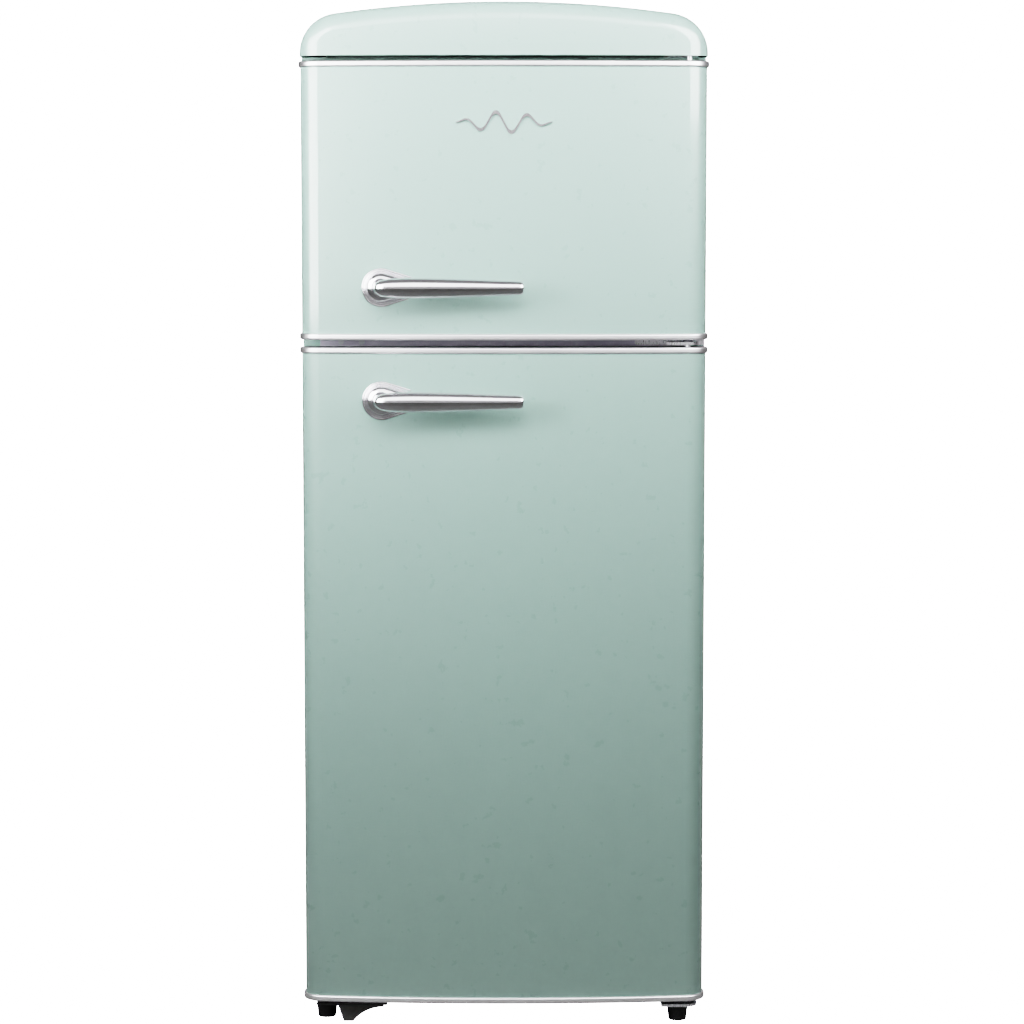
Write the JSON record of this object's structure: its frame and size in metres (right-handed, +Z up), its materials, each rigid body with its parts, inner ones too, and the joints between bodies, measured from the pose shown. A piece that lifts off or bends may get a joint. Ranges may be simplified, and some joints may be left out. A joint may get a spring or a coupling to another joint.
{
  "type": "top freezer refrigerator",
  "caption": "Retro refrigerator with a freezer on top: bowed mint doors hinged at the right, chrome lever handles, bright edge trims, a crowned top cap, shelves, door bins and a drawer.",
  "frame": {"origin": "on the floor, at the centre of the overall outline", "axes": "+Z up, +X to the right of someone facing the doors, doors face -Y"},
  "size_m": [0.604, 0.665, 1.519],
  "materials": {
    "body_paint": "gloss",
    "polished_trim": "polished",
    "chrome": "polished",
    "mullion_metal": "satin",
    "hinge_steel": "satin",
    "galvanised": "satin",
    "back_paint": "matte",
    "black_paint": "satin",
    "liner_white": "gloss",
    "end_cap_plastic": "satin",
    "foam": "matte",
    "gasket": "matte",
    "clear_plastic": "gloss",
    "shelf_glass": "gloss",
    "shelf_trim": "gloss",
    "black_plastic": "satin",
    "skid_plastic": "satin",
    "black_rubber": "matte",
    "copper": "satin",
    "evaporator_aluminium": "satin",
    "tray_plastic": "satin",
    "wire_white": "gloss",
    "control_plastic": "satin",
    "knob_plastic": "satin",
    "diffuser": "satin",
    "lamp_glass": "gloss",
    "plug_plastic": "satin"
  },
  "bodies": {
    "cabinet": {"cabinet_shell": "body_paint", "top_cap": "body_paint", "back_panel": "back_paint", "base_pan": "galvanised", "cabinet_foam": "foam", "freezer_liner": "liner_white", "fridge_liner": "liner_white", "mullion_bar": "mullion_metal", "top_hinge_bracket": "hinge_steel", "middle_hinge_bracket": "hinge_steel", "bottom_hinge_bracket": "hinge_steel", "hinge_pins": "hinge_steel", "hinge_screws": "hinge_steel", "hinge_hole_plugs": "plug_plastic", "left_foot_bracket": "black_paint", "foot_skid": "skid_plastic", "roller_brackets": "galvanised", "compressor_tray": "galvanised", "compressor": "black_paint", "compressor_grommets": "black_rubber", "compressor_relay_box": "black_plastic", "condenser_coil": "black_paint", "condenser_wires": "black_paint", "condenser_clips": "black_plastic", "refrigerant_pipes": "copper", "drip_tray": "tray_plastic", "evaporators": "evaporator_aluminium", "glass_shelves": "shelf_glass", "shelf_trims": "shelf_trim", "freezer_shelf": "wire_white", "control_housing": "control_plastic", "lamp_cover": "diffuser", "lamp": "lamp_glass", "door_switch": "control_plastic"},
    "freezer_door": {"freezer_door_skin": "body_paint", "freezer_door_end_caps": "end_cap_plastic", "freezer_door_foam": "foam", "freezer_door_trims": "polished_trim", "freezer_door_liner": "liner_white", "freezer_door_gasket": "gasket", "freezer_door_bins": "clear_plastic", "freezer_handle_base": "chrome", "freezer_handle_lever": "chrome", "badge": "chrome"},
    "fridge_door": {"fridge_door_skin": "body_paint", "fridge_door_end_caps": "end_cap_plastic", "fridge_door_foam": "foam", "fridge_door_trims": "polished_trim", "fridge_door_liner": "liner_white", "fridge_door_gasket": "gasket", "fridge_door_bins": "clear_plastic", "fridge_handle_base": "chrome", "fridge_handle_lever": "chrome"},
    "crisper": {"crisper_drawer": "clear_plastic"},
    "thermostat": {"thermostat_knob": "knob_plastic"},
    "lamp_switch": {"switch_plunger": "control_plastic"},
    "foot_left": {"front_foot_left": "black_plastic"},
    "foot_right": {"front_foot_right": "black_plastic"},
    "roller_left": {"rear_roller_left": "black_plastic"},
    "roller_right": {"rear_roller_right": "black_plastic"}
  },
  "joints": [
    {"name": "freezer_door_hinge", "type": "hinge", "parent": "cabinet", "child": "freezer_door", "pos_m": [0.272, -0.256, 1.2297], "axis": [0, 0, 1], "range_deg": [0, 120]},
    {"name": "fridge_door_hinge", "type": "hinge", "parent": "cabinet", "child": "fridge_door", "pos_m": [0.272, -0.256, 0.5232], "axis": [0, 0, 1], "range_deg": [0, 120]},
    {"name": "crisper_slide", "type": "slide", "parent": "cabinet", "child": "crisper", "axis": [0, -1, 0], "range_m": [0, 0.14]},
    {"name": "lamp_switch_slide", "type": "slide", "parent": "cabinet", "child": "lamp_switch", "axis": [0, -1, 0], "range_m": [0, 0.006]},
    {"name": "thermostat_turn", "type": "hinge", "parent": "cabinet", "child": "thermostat", "pos_m": [0.05, -0.075, 0.975], "axis": [0, -1, 0], "range_deg": [0, 300]},
    {"name": "foot_left_turn", "type": "hinge", "parent": "cabinet", "child": "foot_left", "pos_m": [-0.268, -0.228, 0.012], "axis": [0, 0, 1], "continuous": true},
    {"name": "foot_right_turn", "type": "hinge", "parent": "cabinet", "child": "foot_right", "pos_m": [0.2615, -0.2475, 0.012], "axis": [0, 0, 1], "continuous": true},
    {"name": "roller_left_turn", "type": "hinge", "parent": "cabinet", "child": "roller_left", "pos_m": [-0.23, 0.26, 0.02], "axis": [1, 0, 0], "continuous": true},
    {"name": "roller_right_turn", "type": "hinge", "parent": "cabinet", "child": "roller_right", "pos_m": [0.23, 0.26, 0.02], "axis": [1, 0, 0], "continuous": true}
  ],
  "couplings": [
    {"joint": "crisper_slide", "follows": "fridge_door_hinge", "m_per_rad": 0.0668},
    {"joint": "lamp_switch_slide", "follows": "fridge_door_hinge", "m_per_rad": 0.00286}
  ]
}
